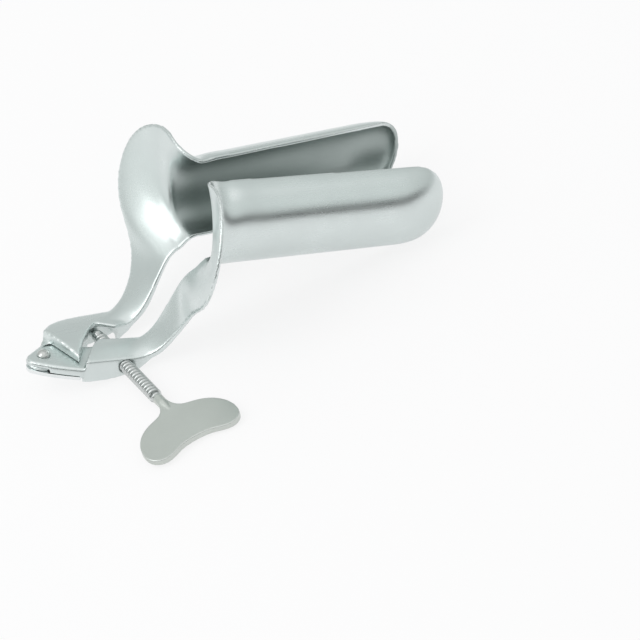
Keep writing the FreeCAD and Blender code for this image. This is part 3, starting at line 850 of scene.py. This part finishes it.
def studio_material(name, colour, roughness):
    """Return the floor's paper: pale, lit by the lamps, and white where it is the background."""
    material = bpy.data.materials.new(name)
    material.use_nodes = True
    tree = material.node_tree
    paper = tree.nodes["Principled BSDF"]
    paper.inputs["Base Color"].default_value = colour
    paper.inputs["Roughness"].default_value = roughness
    paper.inputs["Specular IOR Level"].default_value = 0.1
    glow = node(tree, "ShaderNodeEmission")
    glow.inputs["Color"].default_value = (1, 1, 1, 1)
    ray = node(tree, "ShaderNodeLightPath")
    seen = maths(tree, "MAXIMUM", ray.outputs["Is Camera Ray"], ray.outputs["Is Glossy Ray"])
    seen = maths(tree, "MAXIMUM", seen, ray.outputs["Is Transmission Ray"])
    mix = node(tree, "ShaderNodeMixShader")
    share = maths(tree, "ADD", maths(tree, "MULTIPLY", ray.outputs["Is Camera Ray"], 0.18),
                  maths(tree, "MULTIPLY", seen, 0.62))
    tree.links.new(share, mix.inputs[0])
    tree.links.new(paper.outputs[0], mix.inputs[1])
    tree.links.new(glow.outputs[0], mix.inputs[2])
    tree.links.new(mix.outputs[0], tree.nodes["Material Output"].inputs["Surface"])
    return material


def room_material():
    """Return the studio's wall: pale all round, but dim at table height behind the camera."""
    material = bpy.data.materials.new("studio wall")
    material.use_nodes = True
    tree = material.node_tree
    tree.nodes.remove(tree.nodes["Principled BSDF"])
    place = node(tree, "ShaderNodeTexCoord")
    split = node(tree, "ShaderNodeSeparateXYZ")
    tree.links.new(place.outputs["Object"], split.inputs[0])
    height = spread(tree, split.outputs["Z"], 0.0, 3.0, 0.0, 1.0)
    walls = []
    for steps in (((0.0, 0.7), (0.2, 0.64), (0.45, 0.66), (1.0, 0.8)),
                  ((0.0, 0.12), (0.05, 0.03), (0.21, 0.04), (0.28, 0.5), (0.4, 0.78), (1.0, 0.86))):
        ramp = node(tree, "ShaderNodeValToRGB")
        for index, (position, level) in enumerate(steps):
            ends = {0: 0, len(steps) - 1: -1}
            step = (ramp.color_ramp.elements[ends[index]] if index in ends
                    else ramp.color_ramp.elements.new(position))
            step.position = position
            step.color = (level * 0.975, level * 1.01, level, 1)
        tree.links.new(height, ramp.inputs[0])
        walls.append(ramp.outputs["Color"])
    dark = node(tree, "ShaderNodeMix", data_type="RGBA")
    tree.links.new(spread(tree, split.outputs["Y"], -0.9, -2.2, 0.0, 1.0), dark.inputs["Factor"])
    tree.links.new(walls[0], dark.inputs["A"])
    tree.links.new(walls[1], dark.inputs["B"])
    glow = node(tree, "ShaderNodeEmission")
    tree.links.new(dark.outputs["Result"], glow.inputs["Color"])
    tree.links.new(glow.outputs[0], tree.nodes["Material Output"].inputs["Surface"])
    return material


class SPECULUM_OT_studio(bpy.types.Operator):
    """Build the floor, the room, the lamps and the camera"""
    bl_idname = "speculum.studio"
    bl_label = "Build the studio"

    def execute(self, context):
        levels = settings()[3]
        scene = context.scene
        size = FLOOR_HALF
        floor = bpy.data.meshes.new("floor")
        floor.from_pydata([(-size, -size, 0), (size, -size, 0), (size, size, 0), (-size, size, 0)], [],
                          [(0, 1, 2, 3)])
        floor.materials.append(studio_material("floor paper", tuple(levels.floor_colour), 0.8))
        ground = bpy.data.objects.new("floor", floor)
        scene.collection.objects.link(ground)

        wall = turned_mesh("studio_wall", WALL_PROFILE, 64)
        wall.materials.append(room_material())
        room = bpy.data.objects.new("studio_wall", wall)
        scene.collection.objects.link(room)
        room.visible_camera = False
        room.visible_diffuse = False
        room.visible_transmission = False
        room.visible_shadow = False

        world = bpy.data.worlds.new("studio")
        scene.world = world
        world.use_nodes = True
        tree = world.node_tree
        back = tree.nodes["Background"]
        back.inputs["Color"].default_value = (1, 1, 1, 1)
        ray = node(tree, "ShaderNodeLightPath")
        seen = maths(tree, "MAXIMUM", ray.outputs["Is Camera Ray"], ray.outputs["Is Glossy Ray"])
        seen = maths(tree, "MAXIMUM", seen, ray.outputs["Is Transmission Ray"])
        tree.links.new(spread(tree, seen, 0.0, 1.0, levels.sky_level, 1.0), back.inputs["Strength"])

        def lamp(name, power, width, depth, where, towards):
            light = bpy.data.lights.new(name, "AREA")
            light.shape = "RECTANGLE"
            light.energy = power
            light.size = width
            light.size_y = depth
            made = bpy.data.objects.new(name, light)
            made.location = where
            made.rotation_euler = (Vector(towards) - Vector(where)).to_track_quat("-Z", "Y").to_euler()
            scene.collection.objects.link(made)

        lamp("key lamp", levels.key_power, 0.8, 1.3, (-0.95, -0.1, 1.1), (-0.03, 0, 0.04))
        lamp("side lamp", levels.fill_power, 0.7, 0.9, (-1.3, 0.2, 0.45), (0, 0, 0.04))

        camera = bpy.data.cameras.new("camera")
        camera.lens = 293.4413
        camera.sensor_width = 36.0
        camera.clip_start = 0.05
        camera.clip_end = 50.0
        eye = bpy.data.objects.new("camera", camera)
        eye.location = (-0.128138, -1.752046, 1.276180)
        eye.rotation_euler = (0.910019, 0.269791, -0.292473)
        scene.collection.objects.link(eye)
        scene.camera = eye
        scene.view_settings.view_transform = "Standard"
        return {"FINISHED"}


class SPECULUM_PT_panel(bpy.types.Panel):
    """Lists the pieces in the order they are built"""
    bl_idname = "SPECULUM_PT_panel"
    bl_label = "Speculum"
    bl_space_type = "VIEW_3D"
    bl_region_type = "UI"
    bl_category = "Speculum"

    def draw(self, context):
        layout = self.layout
        for group in settings():
            for name in group.bl_rna.properties.keys():
                if name not in ("rna_type", "name"):
                    layout.prop(group, name)
        for operator in OPERATORS:
            layout.operator(operator.bl_idname)


GROUPS = (("speculum_sheet", SheetSizes), ("speculum_screw", ScrewSizes), ("speculum_steel", SteelFinish),
          ("speculum_studio", StudioLevels))
OPERATORS = (SPECULUM_OT_studio, SPECULUM_OT_valves, SPECULUM_OT_screw, SPECULUM_OT_wing, SPECULUM_OT_hinge)


def register():
    """Register the settings, operators and panel."""
    for name, group in GROUPS:
        bpy.utils.register_class(group)
        setattr(bpy.types.Scene, name, bpy.props.PointerProperty(type=group))
    for kind in OPERATORS + (SPECULUM_PT_panel,):
        bpy.utils.register_class(kind)


def unregister():
    """Take the settings, operators and panel away again."""
    for kind in reversed(OPERATORS + (SPECULUM_PT_panel,)):
        bpy.utils.unregister_class(kind)
    for name, group in reversed(GROUPS):
        delattr(bpy.types.Scene, name)
        bpy.utils.unregister_class(group)


def main():
    """Build the object and its studio."""
    register()
    bpy.ops.speculum.studio()
    bpy.ops.speculum.valves()
    bpy.ops.speculum.screw()
    bpy.ops.speculum.wing()
    bpy.ops.speculum.hinge()


if __name__ == "__main__":
    main()
